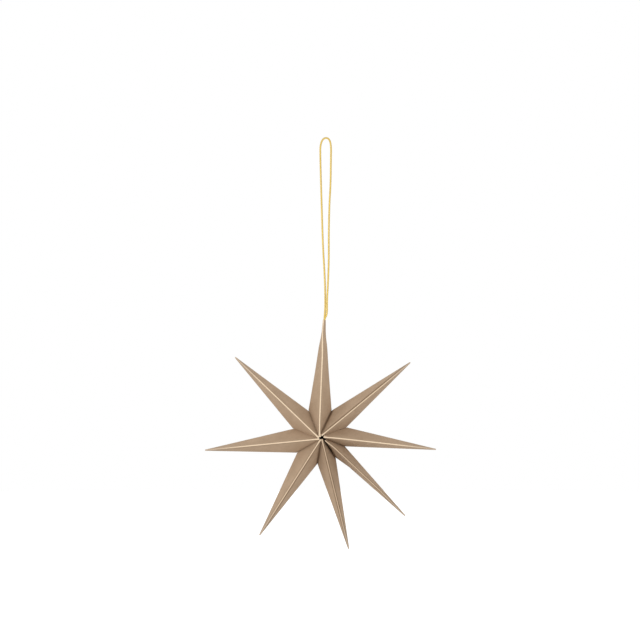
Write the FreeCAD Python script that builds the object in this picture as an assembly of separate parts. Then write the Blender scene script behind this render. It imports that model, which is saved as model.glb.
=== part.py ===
"""Eight-pointed folded paper star on a gold hanging loop.

Sixteen equal card leaves, two to a point, are glued face to face in turn along
their long edges, which are the ridges, and along short strips in the valleys.
Each leaf has one crease, along the side edge of its point.
Millimetres. X is right, the front faces -Y, Z is up. The origin is the hanging
point, on the underside of the cord at the top of its loop.
"""
import FreeCAD
import Part
import math
import os

os.makedirs("parts", exist_ok=True)

Vec = FreeCAD.Vector

# Distance within which points are the same and a point lies on a plane
TOUCH = 0.00001

# Star, seen from the front
TIP_RADIUS = 75.0
HALF_DEPTH = 20.0
SIDE_EDGE = 59.0
# Half width at the tip that the side folds run to, so that no tip is a needle
TIP_SIDE = 0.38
SWIRL = 0.7
STAR_X = -3.6
STAR_Z = -191.9
# Angle of each point in degrees, anticlockwise from +X
POINT_ANGLES = {
    "top": 88.1,
    "upper_right": 39.4,
    "right": -6.5,
    "lower_right": -43.2,
    "bottom": -75.9,
    "lower_left": -121.6,
    "left": -173.1,
    "upper_left": 137.2,
}

# Card
CARD = 0.35
RIDGE_GLUE = 0.5
VALLEY_GLUE = 2.2
HUB_LAND = 0.15
# Distance from the middle of the hub at which the front halves of the leaves end
HUB_OPEN = 0.75

# Closing seam, on the clockwise side of this point: it gapes at the front of the
# hub, its corner has moved towards the point, and the loose leaf sags inwards
SEAM_POINT = "lower_right"
SEAM_GAPE = 0.8
SEAM_SHIFT = 0.85
SAG_REACH = 27.0
SAG_HALF_WIDTH = 2.3

# Cord, and the knot jammed inside the top point
CORD_POINT = "top"
CORD_DIAMETER = 1.15
KNOT_DIAMETER = 3.6
KNOT_DEPTH = 18.0
# Clearances of the cord between the leaves, and of its two legs
CORD_PLAY = 0.08
LEG_PLAY = 0.04

# The cord parts the leaves of the top point near its tip: length of the parted
# tip, half depth of its open end, what is left there of the glued edge, and the
# bow of the last fold
TIP_PARTED = 11.0
TIP_HALF_DEPTH = 0.85
TIP_EDGE = 0.25
TIP_BOW = 0.02

# Both legs run up from the tip, over the hanging point, one behind the other
# at the tip: route points (x, y, z) of the centreline outside the star
LEFT_LEG = [
    (-0.42, 0.60, -110.0),
    (-0.44, 0.60, -99.0),
    (-0.90, 0.55, -87.0),
    (-2.02, 0.45, -68.5),
    (-2.72, 0.30, -45.0),
    (-3.25, 0.15, -28.0),
    (-3.66, 0.05, -11.5),
    (-3.70, 0.00, -3.6),
]
LOOP_TOP = [
    (-1.65, 0.00, 0.58),
    (1.75, 0.00, 0.58),
]
RIGHT_LEG = [
    (3.32, 0.00, -3.6),
    (3.20, -0.05, -12.5),
    (2.98, -0.15, -29.5),
    (2.18, -0.30, -42.0),
    (1.75, -0.45, -62.0),
    (1.86, -0.55, -77.5),
    (1.30, -0.60, -93.5),
    (0.82, -0.60, -104.0),
    (0.86, -0.60, -112.8),
]
# Height above the tip where the legs turn in between the leaves
TIP_ENTRY = 1.0
# Share of the shorter run that each bend of the cord takes up
BEND_SHARE = 0.45


def solve_planes(a, b, c):
    """Point shared by three planes, each given as (normal, offset)."""
    cross = b[0].cross(c[0])
    det = a[0].dot(cross)
    if abs(det) < 1e-9:
        return None
    point = cross * a[1] + c[0].cross(a[0]) * b[1] + a[0].cross(b[0]) * c[1]
    return point * (1.0 / det)


def convex_solid(planes, place):
    """Solid on the inner side of every plane, mapped into the star by place."""
    corners = []
    count = len(planes)
    for i in range(count):
        for j in range(i + 1, count):
            for k in range(j + 1, count):
                p = solve_planes(planes[i], planes[j], planes[k])
                if p is None:
                    continue
                if any(n.dot(p) > d + TOUCH / 10 for n, d in planes):
                    continue
                if all(p.distanceToPoint(q) > TOUCH for q in corners):
                    corners.append(p)
    faces = []
    for normal, offset in planes:
        ring = [p for p in corners if abs(normal.dot(p) - offset) < TOUCH]
        if len(ring) < 3:
            continue
        middle = sum(ring, Vec()) * (1.0 / len(ring))
        across = ring[0] - middle
        along = normal.cross(across)
        ring.sort(key=lambda p: math.atan2(along.dot(p - middle), across.dot(p - middle)))
        outline = [place(p) for p in ring]
        faces.append(Part.Face(Part.makePolygon(outline + outline[:1])))
    solid = Part.Solid(Part.makeShell(faces))
    if solid.Volume < 0:
        solid.reverse()
    return solid


def unit_plane(normal, point):
    """Plane through a point, with its normal pointing away from the card."""
    n = Vec(normal)
    n.normalize()
    return (n, n.dot(point))


def shifted(plane, distance):
    return (plane[0], plane[1] + distance)


def flipped(plane):
    return (plane[0] * -1.0, -plane[1])


def mirrored(plane):
    n = plane[0]
    return (Vec(n.x, -n.y, n.z), plane[1])


# Each point is laid out about its own mid-plane, which passes beside the hub
# centre by the swirl. Leaf coordinates: x runs out along the point from where
# the mid-planes of the two neighbouring points cross, y is depth with the
# front negative, and z runs sideways from the mid-plane into the leaf.
BEARING_SHIFT = math.degrees(math.asin(SWIRL / TIP_RADIUS))
POINT_LENGTH = math.sqrt(TIP_RADIUS ** 2 - SWIRL ** 2)
RIDGE_SLOPE = HALF_DEPTH / POINT_LENGTH


def point_axes(name):
    """Hub end of the point's mid-plane, its outward and anticlockwise directions."""
    b = math.radians(POINT_ANGLES[name] - BEARING_SHIFT)
    outward = Vec(math.cos(b), 0, math.sin(b))
    turn = Vec(-math.sin(b), 0, math.cos(b))
    return Vec(STAR_X, 0, STAR_Z) + turn * SWIRL, outward, turn


def neighbour(name, step):
    """Point next to this one, anticlockwise for a step of +1."""
    names = list(POINT_ANGLES)
    return names[(names.index(name) - step) % len(names)]


class Leaf:
    """One card leaf: side is +1 on the point's anticlockwise side, else -1."""

    def __init__(self, name, side):
        self.name = name
        self.side = side
        gap = POINT_ANGLES[neighbour(name, side)] - POINT_ANGLES[name]
        self.half_gap = math.radians((side * gap) % 360.0) / 2
        hub, outward, turn = point_axes(name)
        self.crossing = -side * SWIRL * math.tan(self.half_gap)
        self.start = hub + outward * self.crossing
        self.outward = outward
        self.sideways = turn * side
        self.length = POINT_LENGTH - self.crossing

        # Valley corner, where the side edges of two neighbouring points meet
        cos_g = math.cos(self.half_gap)
        sin_g = math.sin(self.half_gap)
        reach = self.length * cos_g - math.sqrt(SIDE_EDGE ** 2 - (self.length * sin_g) ** 2)
        self.corner = Vec(reach * cos_g, 0, reach * sin_g)
        self.front_valley = self.half_gap
        self.back_valley = self.half_gap
        self.sags = name == SEAM_POINT and side < 0
        if self.sags:
            self.corner += Vec(sin_g, 0, -cos_g) * SEAM_SHIFT
            self.back_valley -= math.atan(SEAM_SHIFT / reach)
            self.front_valley = self.back_valley + math.atan(SEAM_GAPE / reach)
        elif name == neighbour(SEAM_POINT, -1) and side > 0:
            self.corner += Vec(-sin_g, 0, cos_g) * SEAM_SHIFT
            self.front_valley += math.atan(SEAM_SHIFT / reach)
            self.back_valley = self.front_valley

        # Point on the side crease that the outer facet passes through
        self.brow = self.corner
        if self.sags:
            self.brow = Vec(SAG_REACH, 0, SAG_HALF_WIDTH)
        rise = self.length * RIDGE_SLOPE - RIDGE_GLUE * math.hypot(1, RIDGE_SLOPE)
        taper = (self.brow.z - TIP_SIDE) / (self.length - self.brow.x)
        self.flare = rise / (taper * self.brow.x + self.brow.z - CARD)
        self.slope = self.flare * taper
        self.level = -rise - self.flare * CARD
        self.face_length = math.sqrt(1 + self.slope ** 2 + self.flare ** 2)

    def place(self, p):
        return self.start + self.outward * p.x + self.sideways * p.z + Vec(0, p.y, 0)

    def valley_start(self, angle):
        return self.corner.x - self.corner.z / math.tan(angle)

    def hub_end(self, angle):
        return self.valley_start(angle) + HUB_LAND

    def strip_end(self, angle):
        clear = CARD * (1 + math.cos(angle)) / math.sin(angle)
        return self.valley_start(angle) + clear + CARD / 3

    def section(self, x):
        """Outline (sideways, depth) of the leaf square to its point at x."""
        flat = self.level + self.slope * x
        ridge = -(self.length - x) * RIDGE_SLOPE
        root = flat + self.flare * CARD
        under = flat + CARD * self.face_length
        front = [(0, under), (0, ridge), (CARD, ridge), (CARD, root)]
        outer = (-flat / self.flare, 0)
        inner = (-under / self.flare, 0)
        back = [(z, -y) for z, y in reversed(front)]
        return front + [outer] + back + [inner]

    def ring(self, outline, x):
        pts = [self.place(Vec(x, y, z)) for z, y in outline]
        return Part.makePolygon(pts + pts[:1])

    def half(self, hub_end, stop, angle):
        """Slabs of the leaf's front half, each a list of planes."""
        mid = unit_plane((0, 0, -1), Vec())
        fin_side = unit_plane((0, 0, 1), Vec(0, 0, CARD))
        halfway = unit_plane((0, 1, 0), Vec())
        ridge = unit_plane((RIDGE_SLOPE, -1, 0), Vec(self.length, 0, 0))
        face = unit_plane((self.slope, -1, self.flare), self.brow)
        under = flipped(shifted(face, -CARD))
        inner_face = face
        end = unit_plane((1, 0, 0), Vec(stop, 0, 0))
        hub = unit_plane((-1, 0, 0), Vec(hub_end, 0, 0))
        strip_hub = unit_plane((-1, 0, 0), Vec(max(hub_end, self.strip_end(angle)), 0, 0))
        valley = unit_plane((-math.sin(angle), 0, math.cos(angle)), self.corner)
        strip_side = flipped(shifted(valley, -CARD))
        fin = [mid, fin_side, ridge, under, halfway, valley, hub, end]
        facet = [mid, face, ridge, under, halfway, valley, hub, end]
        slabs = [fin, facet]
        if self.sags:
            # A fold from the ridge's hub end to the brow parts the facet in two
            depth = self.level + self.slope * hub_end + self.flare * CARD
            root = Vec(hub_end, depth, CARD)
            across = (self.corner - root).cross(self.brow - root)
            inner_face = unit_plane(across * math.copysign(1, across.z), self.corner)
            inner_under = flipped(shifted(inner_face, -CARD))
            bend = (face[0] + inner_face[0]).cross(self.brow - root)
            divide = unit_plane(bend * math.copysign(1, -bend.x), root)
            facet.append(divide)
            slabs.append([inner_face, inner_under, halfway, valley, hub, flipped(divide)])
        fold = valley[0].cross(inner_face[0])
        strip_edge = unit_plane(valley[0].cross(fold), self.corner)
        if strip_edge[0].y < 0:
            strip_edge = flipped(strip_edge)
        strip_edge = shifted(strip_edge, VALLEY_GLUE)
        slabs.append([valley, strip_side, inner_face, strip_edge, halfway, strip_hub])
        return slabs

    def solid(self, front_end, back_end):
        """The leaf, with its front and back halves ending so far from the hub."""
        stop = self.length
        if self.name == CORD_POINT:
            stop -= TIP_PARTED
        pieces = []
        for planes in self.half(front_end, stop, self.front_valley):
            pieces.append(convex_solid(planes, self.place))
        for planes in self.half(back_end, stop, self.back_valley):
            pieces.append(convex_solid([mirrored(p) for p in planes], self.place))
        if self.name == CORD_POINT:
            pieces.append(self.cheek(stop))
        return pieces[0].fuse(pieces[1:]).removeSplitter()

    def cheek(self, start):
        """Outer end of a leaf, pushed off the mid-plane by the cord."""
        near = CORD_DIAMETER / 2 + CORD_PLAY
        far = near + CARD
        e = TIP_HALF_DEPTH
        root = TIP_EDGE - e
        front = [(near, root), (near, -e), (far, -e), (far, root)]
        back = [(z, -y) for z, y in reversed(front)]
        tip = front + [(far + TIP_BOW, 0)] + back + [(near + TIP_BOW, 0)]

        rings = [
            self.ring(self.section(start), start),
            self.ring(tip, self.length),
        ]
        return Part.makeLoft(rings, True, True)


def cord_route():
    """Route of the loop, from the knot up the left leg and down the right one."""
    hub, outward, turn = point_axes(CORD_POINT)
    tip = hub + outward * POINT_LENGTH
    knot = tip - outward * KNOT_DEPTH
    inside = [
        knot + outward * (KNOT_DIAMETER / 2 - LEG_PLAY),
        knot + outward * KNOT_DEPTH / 2 + turn * LEG_PLAY / 4,
        tip + outward * TIP_ENTRY,
    ]
    lane = Vec(0, (CORD_DIAMETER + LEG_PLAY) / 2, 0)
    left = [p + lane for p in inside]
    right = [p - lane for p in reversed(inside)]
    legs = [Vec(*p) for p in LEFT_LEG + LOOP_TOP + RIGHT_LEG]
    return knot, left + legs + right


def tube(points, diameter):
    """Round cord of straight runs and tangent arcs along the points."""
    radii = []
    cuts = []
    for a, b, c in zip(points, points[1:], points[2:]):
        into = b - a
        out = c - b
        half_turn = into.getAngle(out) / 2
        back = BEND_SHARE * min(into.Length, out.Length)
        radius = back / math.tan(half_turn)
        radii.append(round(radius, 2))
        into.normalize()
        out.normalize()
        inward = out - into
        inward.normalize()
        middle = b + inward * radius * (1 / math.cos(half_turn) - 1)
        cuts.append((b - into * back, middle, b + out * back))
    edges = []
    here = points[0]
    for first, middle, last in cuts:
        edges.append(Part.LineSegment(here, first).toShape())
        edges.append(Part.Arc(first, middle, last).toShape())
        here = last
    edges.append(Part.LineSegment(here, points[-1]).toShape())
    path = Part.Wire(edges)
    heading = points[1] - points[0]
    circle = Part.Wire(Part.makeCircle(diameter / 2, points[0], heading))
    solid = path.makePipeShell([circle], True, False)
    length = path.Length
    print("bend radii", radii)
    section = math.pi * diameter ** 2 / 4
    print("cord length %.1f, volume over section x length %.4f"
          % (length, solid.Volume / section / length))
    return solid


parts = {}
for point in POINT_ANGLES:
    leaves = {"left_leaf": Leaf(point, 1), "right_leaf": Leaf(point, -1)}
    # Both leaves of a point end at the same distance from the hub
    front = max(leaf.hub_end(leaf.front_valley) + leaf.crossing for leaf in leaves.values())
    front = max(front, HUB_OPEN)
    back = max(leaf.hub_end(leaf.back_valley) + leaf.crossing for leaf in leaves.values())
    for label, leaf in leaves.items():
        shape = leaf.solid(front - leaf.crossing, back - leaf.crossing)
        parts[point + "_point_" + label] = shape

knot_centre, route = cord_route()
knot = Part.makeSphere(KNOT_DIAMETER / 2, knot_centre)
parts["cord_knot"] = knot
parts["hanging_cord"] = tube(route, CORD_DIAMETER).cut(knot)

for name, shape in parts.items():
    print(name, shape.isValid(), len(shape.Solids), round(shape.Volume, 2))
    shape.exportStep("parts/" + name + ".step")
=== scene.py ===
"""Folded kraft-card star on a twisted gold cord, hung against white.

Every leaf is a sheet of card with soft folds, pale cut edges and a slightly
uneven face, made from the frame's own leaf. The cord is a three-ply twist that
follows the route of the loop. A dab of glue closes the back of the hub.
"""

import math

import bmesh
import bpy
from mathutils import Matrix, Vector, noise


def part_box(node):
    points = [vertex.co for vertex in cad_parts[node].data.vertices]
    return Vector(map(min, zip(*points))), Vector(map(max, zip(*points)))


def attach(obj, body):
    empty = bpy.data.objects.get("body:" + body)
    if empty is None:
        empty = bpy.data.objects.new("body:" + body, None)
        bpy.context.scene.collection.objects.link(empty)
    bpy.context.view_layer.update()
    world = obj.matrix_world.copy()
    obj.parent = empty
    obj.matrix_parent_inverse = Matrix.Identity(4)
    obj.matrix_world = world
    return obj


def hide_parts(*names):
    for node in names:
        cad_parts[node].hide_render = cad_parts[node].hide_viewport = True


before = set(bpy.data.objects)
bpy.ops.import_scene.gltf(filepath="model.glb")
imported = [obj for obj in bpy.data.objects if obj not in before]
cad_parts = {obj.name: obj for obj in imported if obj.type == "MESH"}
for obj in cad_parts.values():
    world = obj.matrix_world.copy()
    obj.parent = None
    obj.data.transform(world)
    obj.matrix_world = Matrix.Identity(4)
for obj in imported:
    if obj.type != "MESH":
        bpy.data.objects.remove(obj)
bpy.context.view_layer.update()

MM = 0.001

# Camera: level with the middle of the photograph, square to the star
PHOTO_WIDTH_PX = 640
STAR_MM_PER_PX = 0.6454
HANGING_POINT_PX = (326.0, 138.9)
CAMERA_DISTANCE = 1.472

# Surroundings
ROOM_LIGHT = 0.86
FLOOR_Z = -0.45
FLOOR_RADIUS = 3.0
FLOOR_COLOUR = (0.86, 0.86, 0.86)
FLOOR_LIFT = 0.45

# Card
FOLD_ROUNDING = 0.12 * MM
NARROW_FACE = 0.42 * MM
# How squarely a cut edge looks forwards or back, and outwards at a tip
EDGE_LOOKS_FORWARD = 0.88
EDGE_LOOKS_OUTWARD = 0.75
FOLD_ANGLE = math.radians(12)
SHARP_ANGLE = math.radians(32)
FLAT_ANGLE = math.radians(0.6)
WELD = 0.002 * MM
GRID_STEP = 2.5 * MM
CUT_SNAP = 0.01 * MM
WAVE_HEIGHT = 0.16 * MM
WAVE_LENGTH = 14.0 * MM
WAVE_FREE = (0.4 * MM, 4.5 * MM)
# A valley's fold line is at least so far from the point's middle, so deep, so long
VALLEY_OFF = 1.5 * MM
VALLEY_DEPTH = 5.0 * MM
VALLEY_LENGTH = 6.0 * MM
VALLEY_STEPS = (0.5 * MM, 1.2 * MM, 2.4 * MM)
# Painted shade in valleys, at the hub and in its hole: reach, full to none, and strength
VALLEY_SHADE = (0.15 * MM, 2.0 * MM)
VALLEY_STRENGTH = 0.85
VALLEY_LESS_AT_HUB = 0.35
HUB_SHADE = (3.0 * MM, 16.0 * MM)
HUB_STRENGTH = 0.08
WELL_DEPTH = (0.2 * MM, 1.6 * MM)
WELL_RADIUS = (1.4 * MM, 2.2 * MM)
# Strength of the painted shade in the valley on the clockwise side of each point:
# a strong one paints it dark, a weak one hardly shows
VALLEY_PAINTED_SHADE = {
    "top": 1.2,
    "upper_right": 0.0,
    "right": 0.95,
    "lower_right": 1.5,
    "bottom": 1.15,
    "lower_left": 0.4,
    "left": 0.0,
    "upper_left": 0.3,
}

# Cord
CORD_DIAMETER = 1.15 * MM
CORD_PLIES = 3
CORD_LAY = 3.4 * MM
CORD_RING = 30
PLY_SOFTNESS = 0.7
CORD_FULLNESS = 1.06
KNOT_NODE_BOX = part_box("cord_knot")
KNOT_POINTS = 15
KNOT_COIL = 0.42 * MM
KNOT_STRAND = 0.74
KNOT_OPEN = 0.06
KNOT_THICKNESS = 1.45

# Star: bearing of each point, in degrees anticlockwise from +X, clockwise in order
STAR_CENTRE = Vector((-3.6, 0.0, -191.9)) * MM
POINT_BEARINGS = {
    "top": 88.1,
    "upper_right": 39.4,
    "right": -6.5,
    "lower_right": -43.2,
    "bottom": -75.9,
    "lower_left": -121.6,
    "left": -173.1,
    "upper_left": 137.2,
}
POINTS = list(POINT_BEARINGS)
SWIRL = 0.7 * MM
POINT_LENGTH = 75.0 * MM
HALF_DEPTH = 20.0 * MM
CORNER = (17.5 * MM, 6.2 * MM)
# How far the front ridge of a point leans anticlockwise: over its length, and
# at its tip
RIDGE_LEAN = {
    "top": (0.3 * MM, 0.9 * MM),
    "right": (0.25 * MM, 0.2 * MM),
    "lower_right": (0.75 * MM, 0.2 * MM),
}
LEAN_START = (2.0 * MM, 12.0 * MM)
LEAN_AT_TIP = (50.0 * MM, 66.0 * MM)
LEAN_DEPTH = 0.6
LEAN_ROOM = (1.0 * MM, 0.5 * MM)
# How far out the front of a point's glued ridge ends at the hub, beyond the cut
HUB_END = {"top": -0.3 * MM, "upper_right": 0.7 * MM, "right": 1.2 * MM, "bottom": 0.3 * MM}
HUB_END_REACH = (0.5 * MM, 5.0 * MM)
HUB_END_FRONT = -1.0 * MM
HUB_END_LEAST = 0.05 * MM
RIDGE_HALF_WIDTH = 0.35 * MM
# How far the glued edges spread there, on both sides or only clockwise
HUB_SPREAD = 0.16 * MM
SPREAD_FULL = 0.33 * MM
SPREAD_FADE = (0.42 * MM, 1.2 * MM)
HUB_FOOT = {"top": 0.6 * MM}
HUB_FOOT_REACH = (0.8 * MM, 3.5 * MM)
# Dab of glue in the back of the hub
GLUE_DEPTH = 17.0 * MM
GLUE_HALF_SIZE = (1.05 * MM, 1.7 * MM, 1.1 * MM)
GLUE_SWELL = 0.2
GLUE_LUMPS = 0.05
# Tip of the top point: where the cord parts it, how much deeper its front is
# pinched, and its neck as (distance from the tip, shift outwards)
TIP_PARTED = 11.0 * MM
PARTED_GAP = 0.655 * MM
PINCH_DEPTH = 0.6 * MM
TIP_PINCH = 0.7
NECK_HALF_WIDTH = 1.0 * MM
TIP_NECK = (
    (0.0, -0.05), (3.0, -0.1), (7.0, -0.2), (12.0, 0.0), (17.0, 0.25), (34.0, 0.0)
)
# Where the pale cut edge starts to go dull on its way to the tip
TIP_WORN = (45.0 * MM, 72.0 * MM)

# Route of the cord's centreline, from the knot up the left leg, over the
# hanging point and down the right leg, as in the solid
CORD_ROUTE_MM = [
    (-1.80, 0.595, -133.17),
    (-1.51, 0.595, -125.93),
    (-1.07, 1.50, -115.94),
    (-0.50, 1.20, -110.0),
    (-0.50, 0.75, -99.0),
    (-0.90, 0.55, -87.0),
    (-2.02, 0.45, -68.5),
    (-2.72, 0.30, -45.0),
    (-3.25, 0.15, -28.0),
    (-3.66, 0.05, -11.5),
    (-3.70, 0.00, -3.6),
    (-1.65, 0.00, 0.58),
    (1.75, 0.00, 0.58),
    (3.32, 0.00, -3.6),
    (3.20, -0.05, -12.5),
    (2.98, -0.15, -29.5),
    (2.18, -0.30, -42.0),
    (1.75, -0.45, -62.0),
    (1.86, -0.55, -77.5),
    (1.30, -0.55, -93.5),
    (0.64, -0.30, -104.0),
    (0.74, 0.05, -113.6),
    (-1.07, 0.30, -115.94),
    (-1.51, -0.595, -125.93),
    (-1.80, -0.595, -133.17),
]


def link(name, data):
    piece = bpy.data.objects.new(name, data)
    bpy.context.scene.collection.objects.link(piece)
    return piece


# Shader node groups

def new_group(name, inputs, outputs):
    tree = bpy.data.node_groups.new(name, "ShaderNodeTree")
    for label, kind, value in inputs:
        socket = tree.interface.new_socket(label, in_out="INPUT", socket_type=kind)
        socket.default_value = value
    for label, kind in outputs:
        tree.interface.new_socket(label, in_out="OUTPUT", socket_type=kind)
    return tree, tree.nodes.new("NodeGroupInput"), tree.nodes.new("NodeGroupOutput")


def paper_fibre_group():
    """Mottled pulp colour and fibre height, from the place in the row frame."""
    tree, given, out = new_group(
        "PaperFibre",
        [
            ("Colour", "NodeSocketColor", (0.5, 0.4, 0.3, 1)),
            ("Dark Colour", "NodeSocketColor", (0.4, 0.3, 0.2, 1)),
            ("Mottle Size", "NodeSocketFloat", 6.0),
            ("Mottle", "NodeSocketFloat", 0.5),
            ("Fibre", "NodeSocketFloat", 0.3),
        ],
        [("Colour", "NodeSocketColor"), ("Height", "NodeSocketFloat")],
    )
    nodes = tree.nodes
    links = tree.links
    place = nodes.new("ShaderNodeTexCoord")
    inverse = nodes.new("ShaderNodeMath")
    inverse.operation = "DIVIDE"
    inverse.inputs[0].default_value = 1000.0
    links.new(given.outputs["Mottle Size"], inverse.inputs[1])

    cloud = nodes.new("ShaderNodeTexNoise")
    cloud.inputs["Detail"].default_value = 4.0
    cloud.inputs["Roughness"].default_value = 0.55
    links.new(place.outputs["Object"], cloud.inputs["Vector"])
    links.new(inverse.outputs[0], cloud.inputs["Scale"])
    cloud_range = nodes.new("ShaderNodeMapRange")
    cloud_range.inputs["From Min"].default_value = 0.32
    cloud_range.inputs["From Max"].default_value = 0.68
    links.new(cloud.outputs["Fac"], cloud_range.inputs["Value"])
    cloud_share = nodes.new("ShaderNodeMath")
    cloud_share.operation = "MULTIPLY"
    links.new(cloud_range.outputs["Result"], cloud_share.inputs[0])
    links.new(given.outputs["Mottle"], cloud_share.inputs[1])

    # Short crossed fibres: two stretched noises at an angle to each other
    heights = []
    for turn, scale in ((0.5, 900.0), (2.1, 1100.0)):
        lay = nodes.new("ShaderNodeMapping")
        lay.inputs["Rotation"].default_value = (turn * 0.6, turn, turn * 1.3)
        lay.inputs["Scale"].default_value = (1.0, 0.22, 1.0)
        links.new(place.outputs["Object"], lay.inputs["Vector"])
        fibre = nodes.new("ShaderNodeTexNoise")
        fibre.inputs["Scale"].default_value = scale
        fibre.inputs["Detail"].default_value = 3.0
        fibre.inputs["Distortion"].default_value = 0.4
        links.new(lay.outputs["Vector"], fibre.inputs["Vector"])
        heights.append(fibre.outputs["Fac"])
    felt = nodes.new("ShaderNodeMath")
    felt.operation = "MAXIMUM"
    links.new(heights[0], felt.inputs[0])
    links.new(heights[1], felt.inputs[1])
    speck = nodes.new("ShaderNodeMapRange")
    speck.inputs["From Min"].default_value = 0.45
    speck.inputs["From Max"].default_value = 0.75
    links.new(felt.outputs[0], speck.inputs["Value"])
    speck_share = nodes.new("ShaderNodeMath")
    speck_share.operation = "MULTIPLY"
    links.new(speck.outputs["Result"], speck_share.inputs[0])
    links.new(given.outputs["Fibre"], speck_share.inputs[1])

    share = nodes.new("ShaderNodeMath")
    share.operation = "ADD"
    share.use_clamp = True
    links.new(cloud_share.outputs[0], share.inputs[0])
    links.new(speck_share.outputs[0], share.inputs[1])
    tone = nodes.new("ShaderNodeMix")
    tone.data_type = "RGBA"
    links.new(share.outputs[0], tone.inputs["Factor"])
    links.new(given.outputs["Colour"], tone.inputs[6])
    links.new(given.outputs["Dark Colour"], tone.inputs[7])
    links.new(tone.outputs[2], out.inputs["Colour"])
    links.new(felt.outputs[0], out.inputs["Height"])
    return tree


# Materials

def new_material(name, base_colour, roughness):
    material = bpy.data.materials.new(name)
    material.use_nodes = True
    shader = material.node_tree.nodes["Principled BSDF"]
    shader.inputs["Base Color"].default_value = (*base_colour, 1)
    shader.inputs["Roughness"].default_value = roughness
    return material, material.node_tree.nodes, material.node_tree.links, shader


def shaded_valley_group():
    """Painted shade where the card dips into a valley or the hub, and a duller colour at a
    tip.
    """
    tree, given, out = new_group(
        "ShadedValley",
        [
            ("Colour", "NodeSocketColor", (0.5, 0.4, 0.3, 1)),
            ("Painted Shade Colour", "NodeSocketColor", (0.2, 0.13, 0.08, 1)),
            ("Strength", "NodeSocketFloat", 0.7),
            ("Worn Colour", "NodeSocketColor", (0.4, 0.3, 0.2, 1)),
            ("Wear", "NodeSocketFloat", 0.5),
        ],
        [("Colour", "NodeSocketColor")],
    )
    nodes = tree.nodes
    links = tree.links
    shade = nodes.new("ShaderNodeAttribute")
    shade.attribute_name = "valley_shade"
    share = nodes.new("ShaderNodeMath")
    share.operation = "MULTIPLY"
    share.use_clamp = True
    links.new(shade.outputs["Fac"], share.inputs[0])
    links.new(given.outputs["Strength"], share.inputs[1])
    tone = nodes.new("ShaderNodeMix")
    tone.data_type = "RGBA"
    links.new(share.outputs[0], tone.inputs["Factor"])
    links.new(given.outputs["Colour"], tone.inputs[6])
    links.new(given.outputs["Painted Shade Colour"], tone.inputs[7])
    tip = nodes.new("ShaderNodeAttribute")
    tip.attribute_name = "tip_wear"
    wear = nodes.new("ShaderNodeMath")
    wear.operation = "MULTIPLY"
    links.new(tip.outputs["Fac"], wear.inputs[0])
    links.new(given.outputs["Wear"], wear.inputs[1])
    dull = nodes.new("ShaderNodeMix")
    dull.data_type = "RGBA"
    links.new(wear.outputs[0], dull.inputs["Factor"])
    links.new(tone.outputs[2], dull.inputs[6])
    links.new(given.outputs["Worn Colour"], dull.inputs[7])
    links.new(dull.outputs[2], out.inputs["Colour"])
    return tree


def paper_material(
    name, fibre, valley, colour, dark, deep, worn, wear, mottle_size, mottle, specks, bump
):
    material, nodes, links, shader = new_material(name, colour, 0.85)
    shader.inputs["Specular IOR Level"].default_value = 0.25
    paper = nodes.new("ShaderNodeGroup")
    paper.node_tree = fibre
    paper.inputs["Colour"].default_value = (*colour, 1)
    paper.inputs["Dark Colour"].default_value = (*dark, 1)
    paper.inputs["Mottle Size"].default_value = mottle_size
    paper.inputs["Mottle"].default_value = mottle
    paper.inputs["Fibre"].default_value = specks
    # Painted shade: the deep colour is mixed in where the valley_shade attribute is high
    fold = nodes.new("ShaderNodeGroup")
    fold.node_tree = valley
    fold.inputs["Painted Shade Colour"].default_value = (*deep, 1)
    fold.inputs["Strength"].default_value = 0.9
    fold.inputs["Worn Colour"].default_value = (*worn, 1)
    fold.inputs["Wear"].default_value = wear
    relief = nodes.new("ShaderNodeBump")
    relief.inputs["Strength"].default_value = bump
    relief.inputs["Distance"].default_value = 0.05 * MM
    links.new(paper.outputs["Colour"], fold.inputs["Colour"])
    links.new(fold.outputs["Colour"], shader.inputs["Base Color"])
    links.new(paper.outputs["Height"], relief.inputs["Height"])
    links.new(relief.outputs["Normal"], shader.inputs["Normal"])
    return material


def gold_thread_material():
    """Metallised yarn: bright along the plies, with fine crosswise glints."""
    material, nodes, links, shader = new_material("gold_thread", (0.70, 0.50, 0.15), 0.36)
    shader.inputs["Metallic"].default_value = 0.8
    place = nodes.new("ShaderNodeTexCoord")
    glint = nodes.new("ShaderNodeTexNoise")
    glint.inputs["Scale"].default_value = 5000.0
    glint.inputs["Detail"].default_value = 2.0
    links.new(place.outputs["Object"], glint.inputs["Vector"])
    shade = nodes.new("ShaderNodeValToRGB")
    shade.color_ramp.elements[0].position = 0.35
    shade.color_ramp.elements[0].color = (0.44, 0.29, 0.055, 1)
    shade.color_ramp.elements[1].position = 0.62
    shade.color_ramp.elements[1].color = (0.76, 0.57, 0.165, 1)
    links.new(glint.outputs["Fac"], shade.inputs["Fac"])
    links.new(shade.outputs["Color"], shader.inputs["Base Color"])
    relief = nodes.new("ShaderNodeBump")
    relief.inputs["Strength"].default_value = 0.5
    relief.inputs["Distance"].default_value = 0.03 * MM
    links.new(glint.outputs["Fac"], relief.inputs["Height"])
    links.new(relief.outputs["Normal"], shader.inputs["Normal"])
    return material


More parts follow.
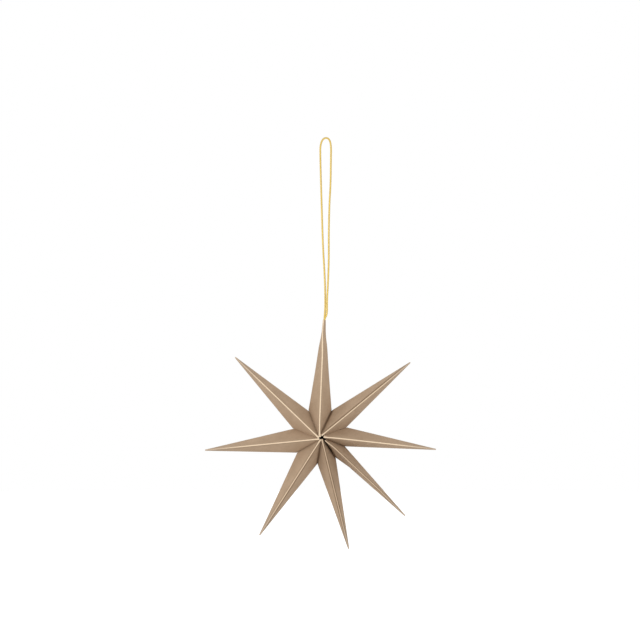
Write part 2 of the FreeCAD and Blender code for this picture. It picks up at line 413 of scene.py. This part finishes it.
def glue_and_painted_shade_material():
    """Brown dried glue, uneven in colour and surface; its dark brown is partly painted
    shade.
    """
    material, nodes, links, shader = new_material("glue_and_painted_shade", (0.22, 0.145, 0.085), 0.45)
    place = nodes.new("ShaderNodeTexCoord")
    cloud = nodes.new("ShaderNodeTexNoise")
    cloud.inputs["Scale"].default_value = 1400.0
    cloud.inputs["Detail"].default_value = 3.0
    links.new(place.outputs["Object"], cloud.inputs["Vector"])
    tone = nodes.new("ShaderNodeValToRGB")
    tone.color_ramp.elements[0].position = 0.3
    tone.color_ramp.elements[0].color = (0.15, 0.095, 0.052, 1)
    tone.color_ramp.elements[1].position = 0.7
    tone.color_ramp.elements[1].color = (0.27, 0.185, 0.115, 1)
    links.new(cloud.outputs["Fac"], tone.inputs["Fac"])
    links.new(tone.outputs["Color"], shader.inputs["Base Color"])
    relief = nodes.new("ShaderNodeBump")
    relief.inputs["Strength"].default_value = 0.4
    relief.inputs["Distance"].default_value = 0.05 * MM
    links.new(cloud.outputs["Fac"], relief.inputs["Height"])
    links.new(relief.outputs["Normal"], shader.inputs["Normal"])
    return material


fibre_group = paper_fibre_group()
valley_group = shaded_valley_group()
# Each paper's third colour is its painted shade colour for valleys, hub and hole; the
# fourth is its worn colour at the tips
kraft_card = paper_material(
    "kraft_card", fibre_group, valley_group, (0.480, 0.348, 0.236), (0.405, 0.288, 0.190),
    (0.128, 0.069, 0.030), (0.400, 0.320, 0.240), 0.4, 7.0, 0.65, 0.35, 0.5
)
cut_edge = paper_material(
    "pale_cut_edge", fibre_group, valley_group, (0.86, 0.69, 0.50), (0.78, 0.61, 0.42),
    (0.50, 0.36, 0.24), (0.50, 0.385, 0.280), 0.9, 2.0, 0.5, 0.5, 0.8
)
gold_thread = gold_thread_material()
glue_and_painted_shade = glue_and_painted_shade_material()


# Leaves

def segment_distance(p, a, b):
    along = b - a
    share = max(0.0, min(1.0, (p - a).dot(along) / along.length_squared))
    return (p - a - along * share).length


def ease(value, low, high):
    t = max(0.0, min(1.0, (value - low) / (high - low)))
    return t * t * (3 - 2 * t)


def flat_faces(mesh):
    """The node's solid with its flat faces whole, as they were cut."""
    bm = bmesh.new()
    bm.from_mesh(mesh)
    bmesh.ops.remove_doubles(bm, verts=bm.verts, dist=WELD)
    bmesh.ops.dissolve_limit(bm, angle_limit=FLAT_ANGLE, verts=bm.verts, edges=bm.edges)
    bm.normal_update()
    return bm


def sort_faces(bm, outward):
    """Cut edges of the card get the pale core, all else its kraft face."""
    for face in bm.faces:
        around = sum(edge.calc_length() for edge in face.edges)
        narrow = 2 * face.calc_area() / around < NARROW_FACE
        along_ridge = abs(face.normal.y) > EDGE_LOOKS_FORWARD
        # Pale core only at tip ends: the inner cut ends at the hub keep the kraft face,
        # which the hole's painted shade darkens
        at_tip = face.normal.dot(outward) > EDGE_LOOKS_OUTWARD
        face.material_index = 1 if narrow and (along_ridge or at_tip) else 0


def round_edges(bm):
    """Softens the folds and gives back the ends of all folds and cut edges."""
    folds = []
    cuts = []
    for edge in bm.edges:
        if len(edge.link_faces) != 2 or edge.calc_face_angle() < FOLD_ANGLE:
            continue
        if any(face.material_index for face in edge.link_faces):
            cuts.append(edge)
        else:
            folds.append(edge)
    features = [(e.verts[0].co.copy(), e.verts[1].co.copy()) for e in folds + cuts]
    bmesh.ops.bevel(
        bm, geom=folds, offset=FOLD_ROUNDING, segments=2, profile=0.5, affect="EDGES",
        clamp_overlap=True
    )
    return features


def valley_folds(bm, outward):
    """Fold lines at the bottom of the valleys, as pairs of ends."""
    across = Vector((-outward.z, 0, outward.x))
    folds = []
    for edge in bm.edges:
        ends = [v.co.copy() for v in edge.verts]
        off = max(abs((p - STAR_CENTRE).dot(across)) for p in ends)
        depth = [abs(p.y) for p in ends]
        if (
            len(edge.link_faces) == 2 and edge.calc_face_angle() > FOLD_ANGLE
            and off > VALLEY_OFF and max(depth) > VALLEY_DEPTH
            and edge.calc_length() > VALLEY_LENGTH
        ):
            folds.append(ends)
    return folds


def cut_across(bm, place, normal):
    """One straight cut through every face, with nothing taken away."""
    geometry = bm.verts[:] + bm.edges[:] + bm.faces[:]
    bmesh.ops.bisect_plane(
        bm, geom=geometry, dist=CUT_SNAP, plane_co=place, plane_no=normal
    )


def cut_beside_valleys(bm, folds, middle):
    """Cuts along each valley, so that its painted shade can fade out over the facet."""
    for a, b in folds:
        normal = (b - a).cross(Vector((0, 1, 0))).normalized()
        if normal.dot(middle - a) < 0:
            normal = -normal
        for step in VALLEY_STEPS:
            cut_across(bm, a + normal * step, normal)


def valley_painted_shade(node):
    """Strength of the painted shade in the one valley that the leaf lies in."""
    point, side = node.rsplit("_point_", 1)
    if side == "left_leaf":
        point = POINTS[POINTS.index(point) - 1]
    return VALLEY_PAINTED_SHADE[point]


def point_axes(point):
    """Hub end of the point's mid-plane, its outward and anticlockwise directions."""
    bearing = math.radians(POINT_BEARINGS[point]) - math.asin(SWIRL / POINT_LENGTH)
    outward = Vector((math.cos(bearing), 0, math.sin(bearing)))
    turn = Vector((-math.sin(bearing), 0, math.cos(bearing)))
    return STAR_CENTRE + turn * SWIRL, outward, turn


def between(table, value):
    """Value read off a table of (place, value) pairs, straight from one to the next."""
    for (a, low), (b, high) in zip(table, table[1:]):
        if value <= b:
            return low + (high - low) * max(0.0, (value - a) / (b - a))
    return table[-1][1]


def lean_ridge(bm, point):
    """The front ridge of a hand-folded point stands a little off its middle."""
    body, tip = RIDGE_LEAN.get(point, (0.0, 0.0))
    hub, outward, turn = point_axes(point)
    for v in bm.verts:
        along = (v.co - hub).dot(outward)
        side = (v.co - hub).dot(turn)
        far = (POINT_LENGTH - along) / (POINT_LENGTH - CORNER[0])
        width = CORNER[1] * min(along / CORNER[0], far) + LEAN_ROOM[0]
        ridge = HALF_DEPTH * (1 - along / POINT_LENGTH) + LEAN_ROOM[1]
        lean = body + (tip - body) * ease(along, *LEAN_AT_TIP)
        share = max(0.0, 1 - abs(side) / width)
        share *= max(0.0, min(1.0, -v.co.y / ridge / LEAN_DEPTH))
        v.co += turn * lean * share * ease(along, *LEAN_START)


def set_hub_end(bm, point):
    """Front of the point's inner end, drawn out or in, its glued edges spread."""
    draw = HUB_END.get(point, 0.0)
    foot = HUB_FOOT.get(point, 0.0)
    hub, outward, turn = point_axes(point)
    for v in bm.verts:
        along = (v.co - hub).dot(outward)
        if v.co.y > HUB_END_FRONT or not HUB_END_LEAST <= along <= HUB_END_REACH[1]:
            continue
        side = (v.co - hub).dot(turn)
        inner = 1 - ease(along, *HUB_END_REACH)
        shift = draw * inner
        spread = side * shift / along
        if abs(side) < RIDGE_HALF_WIDTH + CUT_SNAP:
            room = RIDGE_HALF_WIDTH - abs(side)
            spread = math.copysign(min(abs(spread), room), spread)
        edge = min(1.0, abs(side) / SPREAD_FULL)
        fade = 1 - ease(abs(side), *SPREAD_FADE)
        spread += math.copysign(HUB_SPREAD * inner * edge * fade, side)
        if side < 0:
            spread -= foot * edge * (1 - ease(along, *HUB_FOOT_REACH))
        v.co += outward * shift + turn * spread
        v.co.y += shift * HALF_DEPTH / POINT_LENGTH


def close_tip(bm, point):
    """Glued front of the parted tip, pinched shut before the cord, and its neck."""
    hub, outward, turn = point_axes(point)
    for v in bm.verts:
        from_tip = POINT_LENGTH - (v.co - hub).dot(outward)
        side = (v.co - hub).dot(turn)
        away = math.copysign(1, side)
        parted = max(0.0, 1 - from_tip / TIP_PARTED)
        front = max(0.0, min(1.0, -v.co.y / PINCH_DEPTH))
        shift = -PARTED_GAP * parted * front
        outer = max(0.0, min(1.0, abs(side) / NECK_HALF_WIDTH))
        shift += between(TIP_NECK, from_tip / MM) * MM * outer * (1 - front * parted)
        v.co += turn * away * max(shift, -abs(side))
        if v.co.y < 0:
            v.co.y *= 1 + TIP_PINCH * parted


def shade_valleys(bm, folds, painted_shade, worn_tip):
    """Writes how much painted shade and how much wear the card has at each point of its
    mesh.
    """
    layer = bm.verts.layers.float.new("valley_shade")
    worn = bm.verts.layers.float.new("tip_wear")
    for v in bm.verts:
        near = min(segment_distance(v.co, a, b) for a, b in folds)
        hub = math.hypot(v.co.x - STAR_CENTRE.x, v.co.z - STAR_CENTRE.z)
        line = 1 - ease(near, *VALLEY_SHADE)
        # Painted shade near the hub: a little over all the card there
        deep = 1 - ease(hub, *HUB_SHADE)
        # Painted shade down the hub's hole, from a little below the ridges, close to the
        # middle
        inside = HALF_DEPTH * (1 - hub / POINT_LENGTH) - abs(v.co.y)
        well = ease(inside, *WELL_DEPTH) * (1 - ease(hub, *WELL_RADIUS))
        # Painted shade along the valley, weighted for that valley, weaker near the hub
        valley = VALLEY_STRENGTH * painted_shade * line * (1 - VALLEY_LESS_AT_HUB * deep)
        v[layer] = min(1.0, valley + HUB_STRENGTH * deep + well)
        v[worn] = worn_tip * ease(hub, *TIP_WORN)


def cut_grid(bm, outward):
    """Cuts across the point and in depth, so that the faces can bend."""
    reach = [(v.co - STAR_CENTRE).dot(outward) for v in bm.verts]
    depth = [v.co.y for v in bm.verts]
    for low, high, origin, normal in (
        (min(reach), max(reach), STAR_CENTRE, outward),
        (min(depth), max(depth), Vector((0, 0, 0)), Vector((0, 1, 0))),
    ):
        steps = int((high - low) / GRID_STEP)
        for i in range(1, steps):
            cut_across(bm, origin + normal * (low + (high - low) * i / steps), normal)


def wave_faces(bm, features, seed):
    """Slow unevenness of a folded sheet, held flat along every fold and edge."""
    broad = {}
    for face in bm.faces:
        half = face.calc_center_median().y < 0
        if face.normal.y * (-1 if half else 1) > 0.2:
            broad.setdefault(half, Vector())
            broad[half] += face.normal * face.calc_area()
    for half in broad:
        broad[half].normalize()
    for v in bm.verts:
        near = min(segment_distance(v.co, a, b) for a, b in features)
        free = ease(near, *WAVE_FREE)
        if free == 0:
            continue
        swell = noise.noise(v.co / WAVE_LENGTH + Vector((seed * 7.3, 0, 0)))
        v.co += broad[v.co.y < 0] * swell * WAVE_HEIGHT * free


def leaf(node, seed):
    bm = flat_faces(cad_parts[node].data)
    middle = sum((v.co for v in bm.verts), Vector()) / len(bm.verts)
    outward = middle - STAR_CENTRE
    outward.y = 0
    outward.normalize()
    sort_faces(bm, outward)
    folds = valley_folds(bm, outward)
    features = round_edges(bm)
    cut_beside_valleys(bm, folds, middle)
    cut_grid(bm, outward)
    point = node.rsplit("_point_", 1)[0]
    shade_valleys(bm, folds, valley_painted_shade(node), 0.0 if point == "top" else 1.0)
    wave_faces(bm, features, seed)
    set_hub_end(bm, point)
    if point == "top":
        close_tip(bm, point)
    lean_ridge(bm, point)
    bmesh.ops.recalc_face_normals(bm, faces=bm.faces)
    mesh = bpy.data.meshes.new(node + "_sheet")
    bm.to_mesh(mesh)
    bm.free()
    mesh.materials.append(kraft_card)
    mesh.materials.append(cut_edge)
    mesh.shade_smooth()
    mesh.set_sharp_from_angle(angle=SHARP_ANGLE)
    piece = link(node + "_sheet", mesh)
    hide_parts(node)
    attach(piece, "root")
    return piece


def hub_glue():
    """Dab of dried glue that closes the back of the hub, between the inner ends; its dark
    colour is partly painted shade for the hole.
    """
    bm = bmesh.new()
    bmesh.ops.create_icosphere(bm, subdivisions=4, radius=1)
    middle = STAR_CENTRE + Vector((0, GLUE_DEPTH, 0))
    for v in bm.verts:
        p = v.co.normalized()
        swell = 1 + GLUE_SWELL * noise.noise(p * 1.6 + Vector((4.1, 0, 0)))
        swell += GLUE_LUMPS * noise.noise(p * 5.0)
        v.co = middle + Vector([a * b * swell for a, b in zip(p, GLUE_HALF_SIZE)])
    mesh = bpy.data.meshes.new("hub_glue")
    bm.to_mesh(mesh)
    bm.free()
    mesh.materials.append(glue_and_painted_shade)
    mesh.shade_smooth()
    piece = link("hub_glue", mesh)
    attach(piece, "root")
    return piece


# Cord

def route_curve(name, points):
    curve = bpy.data.curves.new(name, "CURVE")
    curve.dimensions = "3D"
    spline = curve.splines.new("NURBS")
    spline.points.add(len(points) - 1)
    for slot, p in zip(spline.points, points):
        slot.co = (*p, 1)
    spline.order_u = 3
    spline.use_endpoint_u = True
    spline.resolution_u = 40
    return curve


def curve_points(curve):
    """Points along a curve's own line."""
    holder = link("route_reader", curve)
    bpy.context.view_layer.update()
    depsgraph = bpy.context.evaluated_depsgraph_get()
    mesh = bpy.data.meshes.new_from_object(holder.evaluated_get(depsgraph))
    points = [v.co.copy() for v in mesh.vertices]
    bpy.data.objects.remove(holder)
    bpy.data.meshes.remove(mesh)
    return points


def even_points(points, step):
    """The same line, walked in equal steps."""
    total = sum((b - a).length for a, b in zip(points, points[1:]))
    count = round(total / step)
    walked = []
    passed = 0.0
    i = 0
    for n in range(count + 1):
        goal = total * n / count
        while i < len(points) - 2 and passed + (points[i + 1] - points[i]).length < goal:
            passed += (points[i + 1] - points[i]).length
            i += 1
        run = points[i + 1] - points[i]
        walked.append(points[i] + run * min(1.0, (goal - passed) / run.length))
    return walked, total


def ply_radius(angle):
    """Outline of three plies pressed together, as a radius from the middle."""
    ply = CORD_DIAMETER / 2 / (1 + 1 / math.sin(math.pi / CORD_PLIES))
    off = CORD_DIAMETER / 2 - ply
    third = 2 * math.pi / CORD_PLIES
    near = (angle + third / 2) % third - third / 2
    lobes = off * math.cos(near) + math.sqrt(max(ply ** 2 - (off * math.sin(near)) ** 2, 0))
    return lobes + (CORD_DIAMETER / 2 - lobes) * PLY_SOFTNESS


def twisted_cord(name, points, step, thickness=1.0):
    """Mesh tube whose three-lobed section turns once in each lay."""
    walked, total = even_points(points, step)
    bm = bmesh.new()
    side = Vector((0, 1, 0))
    rings = []
    for i, p in enumerate(walked):
        ahead = walked[min(i + 1, len(walked) - 1)] - walked[max(i - 1, 0)]
        ahead.normalize()
        side = (side - ahead * side.dot(ahead)).normalized()
        across = ahead.cross(side)
        twist = 2 * math.pi * total * i / (len(walked) - 1) / CORD_LAY
        ring = []
        for n in range(CORD_RING):
            angle = 2 * math.pi * n / CORD_RING
            reach = ply_radius(angle - twist) * thickness
            away = side * math.cos(angle) + across * math.sin(angle)
            ring.append(bm.verts.new(p + away * reach))
        rings.append(ring)
    for first, second in zip(rings, rings[1:]):
        for n in range(CORD_RING):
            m = (n + 1) % CORD_RING
            bm.faces.new((first[n], first[m], second[m], second[n]))
    bm.faces.new(list(reversed(rings[0])))
    bm.faces.new(rings[-1])
    bmesh.ops.recalc_face_normals(bm, faces=bm.faces)
    mesh = bpy.data.meshes.new(name)
    bm.to_mesh(mesh)
    bm.free()
    mesh.materials.append(gold_thread)
    mesh.shade_smooth()
    return link(name, mesh), walked, total


def knot():
    """Overhand knot drawn up snug, a trefoil left open between its two short ends."""
    low, high = KNOT_NODE_BOX
    middle = (low + high) / 2
    down = (STAR_CENTRE - middle).normalized()
    across = Vector((0, 1, 0)).cross(down)
    tie = []
    for i in range(KNOT_POINTS):
        share = KNOT_OPEN + (1 - 2 * KNOT_OPEN) * i / (KNOT_POINTS - 1)
        t = 2 * math.pi * share + math.pi / 6
        tie.append(
            middle
            + across * KNOT_COIL * (math.sin(t) + 2 * math.sin(2 * t))
            + down * KNOT_COIL * (math.cos(t) - 2 * math.cos(2 * t))
            - Vector((0, KNOT_THICKNESS, 0)) * KNOT_COIL * math.sin(3 * t)
        )
    points = curve_points(route_curve("knot_route", tie))
    piece = twisted_cord("overhand_knot", points, 0.2 * MM, KNOT_STRAND)[0]
    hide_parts("cord_knot")
    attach(piece, "root")
    return piece


def hanging_cord(knot_piece):
    route = [Vector(p) * MM for p in CORD_ROUTE_MM]
    points = curve_points(route_curve("cord_route", route))
    cord, walked, total = twisted_cord("gold_cord_loop", points, 0.2 * MM, CORD_FULLNESS)
    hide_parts("hanging_cord")
    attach(cord, "root")
    return cord


# Surroundings

def set_camera():
    pixel = STAR_MM_PER_PX * MM
    middle = PHOTO_WIDTH_PX / 2
    data = bpy.data.cameras.new("camera")
    data.sensor_fit = "HORIZONTAL"
    data.angle = 2 * math.atan(middle * pixel / CAMERA_DISTANCE)
    data.clip_start = 0.05
    data.clip_end = 20
    camera = link("camera", data)
    camera.location = (
        (middle - HANGING_POINT_PX[0]) * pixel,
        -CAMERA_DISTANCE,
        (HANGING_POINT_PX[1] - middle) * pixel,
    )
    camera.rotation_euler = (math.radians(90), 0, 0)
    bpy.context.scene.camera = camera


def white_to_camera(nodes, links, lit, surface):
    """What the camera and a mirror see, mixed over what lights the star."""
    path = nodes.new("ShaderNodeLightPath")
    seen = nodes.new("ShaderNodeMath")
    seen.operation = "MAXIMUM"
    seen.use_clamp = True
    links.new(path.outputs["Is Camera Ray"], seen.inputs[0])
    links.new(path.outputs["Is Glossy Ray"], seen.inputs[1])
    both = nodes.new("ShaderNodeMath")
    both.operation = "MAXIMUM"
    links.new(seen.outputs[0], both.inputs[0])
    links.new(path.outputs["Is Transmission Ray"], both.inputs[1])
    mix = nodes.new("ShaderNodeMixShader")
    links.new(both.outputs[0], mix.inputs["Fac"])
    links.new(lit, mix.inputs[1])
    links.new(surface, mix.inputs[2])
    return mix.outputs[0]


def white_room():
    world = bpy.data.worlds.new("white_room")
    bpy.context.scene.world = world
    world.use_nodes = True
    nodes = world.node_tree.nodes
    links = world.node_tree.links
    soft = nodes["Background"]
    soft.inputs["Color"].default_value = (1, 1, 1, 1)
    soft.inputs["Strength"].default_value = ROOM_LIGHT
    white = nodes.new("ShaderNodeBackground")
    white.inputs["Color"].default_value = (1, 1, 1, 1)
    white.inputs["Strength"].default_value = 1.0
    shown = white_to_camera(nodes, links, soft.outputs[0], white.outputs[0])
    links.new(shown, nodes["World Output"].inputs["Surface"])


def pale_floor():
    """Pale floor below the star, lifted to white where the camera sees it."""
    bm = bmesh.new()
    bmesh.ops.create_circle(bm, cap_ends=True, segments=64, radius=FLOOR_RADIUS)
    mesh = bpy.data.meshes.new("pale_floor")
    bm.to_mesh(mesh)
    bm.free()
    material, nodes, links, shader = new_material("pale_floor", FLOOR_COLOUR, 0.9)
    lift = nodes.new("ShaderNodeEmission")
    lift.inputs["Color"].default_value = (1, 1, 1, 1)
    lift.inputs["Strength"].default_value = FLOOR_LIFT
    both = nodes.new("ShaderNodeAddShader")
    links.new(shader.outputs[0], both.inputs[0])
    links.new(lift.outputs[0], both.inputs[1])
    shown = white_to_camera(nodes, links, shader.outputs[0], both.outputs[0])
    # Clear from below, so that the star shows from there too
    under = nodes.new("ShaderNodeNewGeometry")
    clear = nodes.new("ShaderNodeBsdfTransparent")
    top_only = nodes.new("ShaderNodeMixShader")
    links.new(under.outputs["Backfacing"], top_only.inputs["Fac"])
    links.new(shown, top_only.inputs[1])
    links.new(clear.outputs[0], top_only.inputs[2])
    links.new(top_only.outputs[0], nodes["Material Output"].inputs["Surface"])
    mesh.materials.append(material)
    floor = link("pale_floor", mesh)
    floor.location = (STAR_CENTRE.x, 0, FLOOR_Z)


def aim_lamp(name, data, place, target):
    lamp = link(name, data)
    lamp.location = place
    lamp.rotation_euler = (target - lamp.location).to_track_quat("-Z", "Y").to_euler()


def area_lamp(name, place, size, watts, target):
    data = bpy.data.lights.new(name, "AREA")
    data.shape = "DISK"
    data.size = size
    data.energy = watts
    aim_lamp(name, data, place, target)


def spot_lamp(name, place, size, cone, watts, target):
    data = bpy.data.lights.new(name, "SPOT")
    data.shadow_soft_size = size
    data.spot_size = math.radians(cone)
    data.spot_blend = 1.0
    data.energy = watts
    aim_lamp(name, data, place, target)


def light_star():
    target = Vector((STAR_CENTRE.x, 0, STAR_CENTRE.z))
    lower_right = Vector((0.03, 0, -0.225))
    area_lamp("key_left", Vector((-1.5, -1.0, -0.12)), 1.0, 6.0, target)
    area_lamp("fill_front", Vector((0.5, -1.9, 0.1)), 1.2, 4.5, target)
    spot_lamp("low_right_glow", Vector((0.0, -1.25, -0.39)), 0.15, 11, 16.0, lower_right)


set_camera()
white_room()
pale_floor()
light_star()
for number, name in enumerate(sorted(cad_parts)):
    if name.endswith("_leaf"):
        leaf(name, number)
hub_glue()
hanging_cord(knot())

scene = bpy.context.scene
scene.view_settings.view_transform = "Standard"
